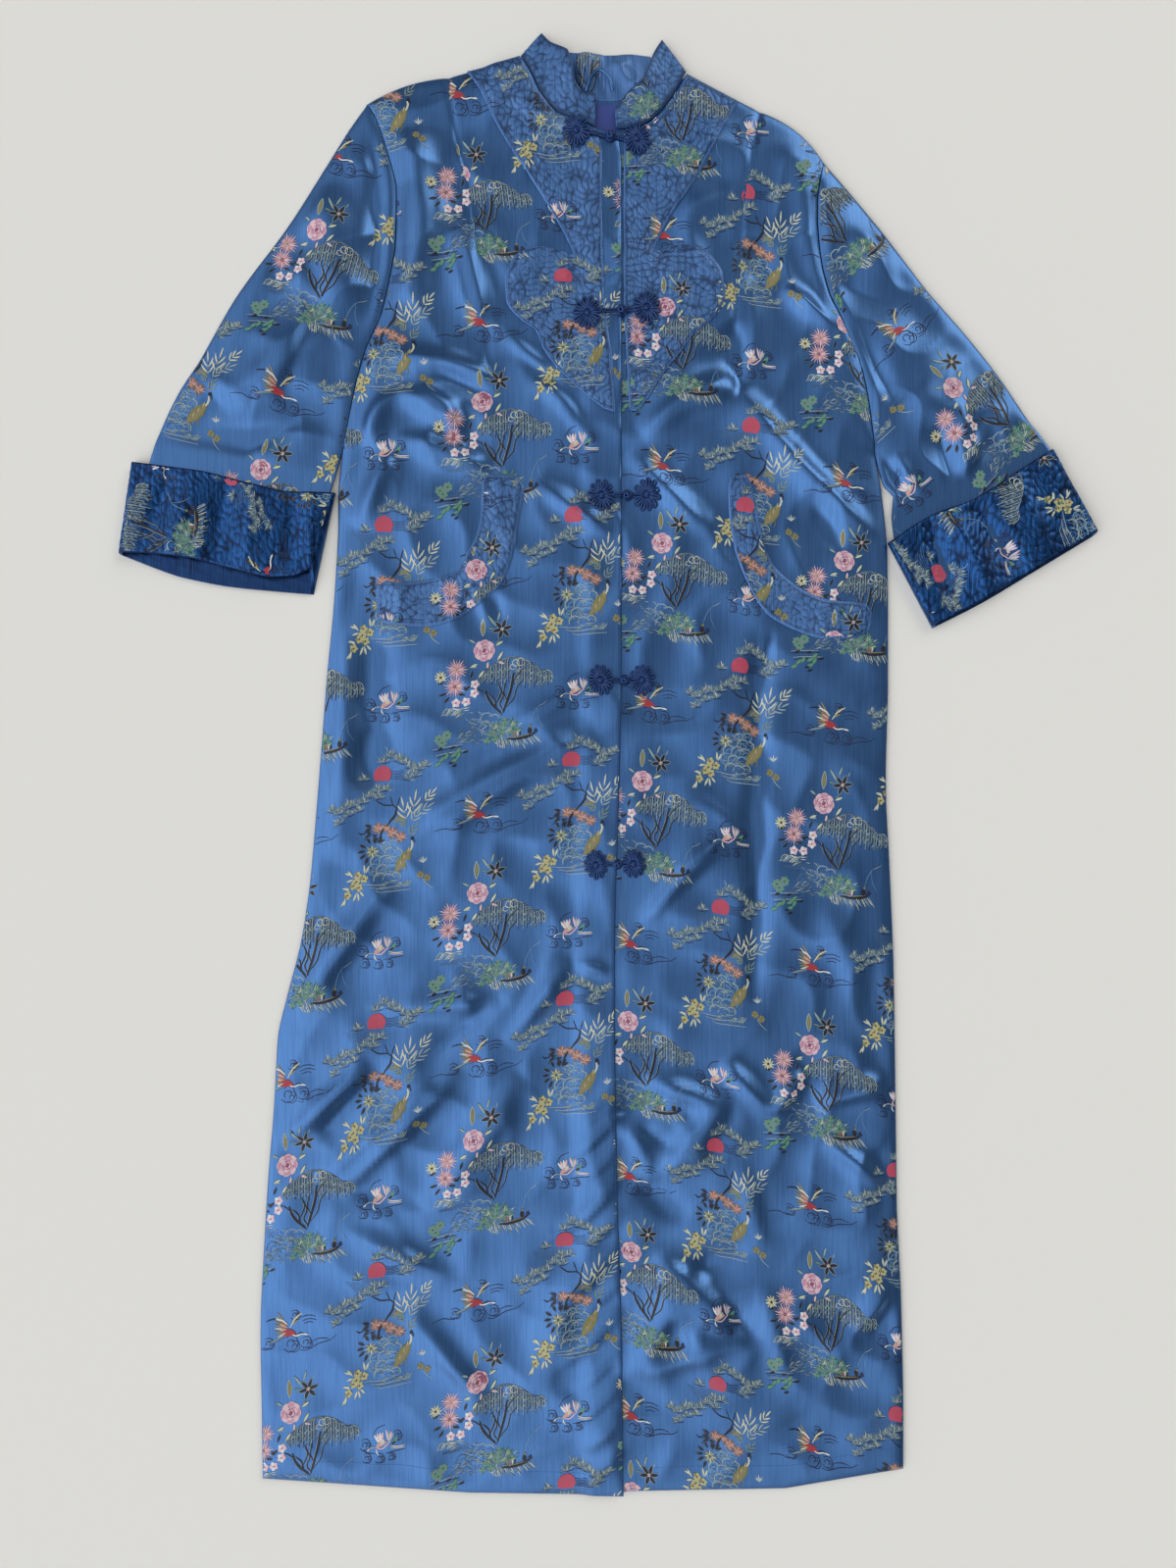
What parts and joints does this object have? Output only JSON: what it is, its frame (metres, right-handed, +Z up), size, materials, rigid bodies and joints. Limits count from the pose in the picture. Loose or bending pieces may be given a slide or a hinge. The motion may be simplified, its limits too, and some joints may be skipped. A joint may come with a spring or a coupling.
{
  "type": "chinese robe laid flat",
  "caption": "Full-length satin brocade robe laid flat, with wide sleeves in turned-back quilted cuffs, quilted scalloped yokes, a stand collar and cord flower frogs.",
  "frame": {"origin": "middle of the laid-out robe's footprint, on the surface it lies on", "axes": "+Z up out of the surface, +Y from the hem towards the collar, +X towards the wearer's left"},
  "size_m": [0.892, 1.336, 0.0182],
  "materials": {
    "satin": "blue satin brocade with a soft sheen and woven coloured motifs",
    "quilted_satin": "blue satin brocade, quilted all over with fine wandering stitch lines",
    "lining": "plain dark blue lining cloth",
    "cord": "dark navy satin-covered cord"
  },
  "bodies": {
    "root": {"back": "satin", "right_front": "satin", "left_front": "satin", "right_sleeve": "satin", "left_sleeve": "satin", "right_cuff": "quilted_satin", "left_cuff": "quilted_satin", "right_yoke": "quilted_satin", "left_yoke": "quilted_satin", "right_pocket_band": "quilted_satin", "left_pocket_band": "quilted_satin", "collar_back": "quilted_satin", "collar_right": "quilted_satin", "collar_left": "quilted_satin", "neck_lining": "lining", "hanging_loop": "cord", "frog_1_right_flower": "cord", "frog_1_left_flower": "cord", "frog_1_knot": "cord", "frog_1_loop": "cord", "frog_2_right_flower": "cord", "frog_2_left_flower": "cord", "frog_2_knot": "cord", "frog_2_loop": "cord", "frog_3_right_flower": "cord", "frog_3_left_flower": "cord", "frog_3_knot": "cord", "frog_3_loop": "cord", "frog_4_right_flower": "cord", "frog_4_left_flower": "cord", "frog_4_knot": "cord", "frog_4_loop": "cord", "frog_5_right_flower": "cord", "frog_5_left_flower": "cord", "frog_5_knot": "cord", "frog_5_loop": "cord"}
  },
  "joints": []
}
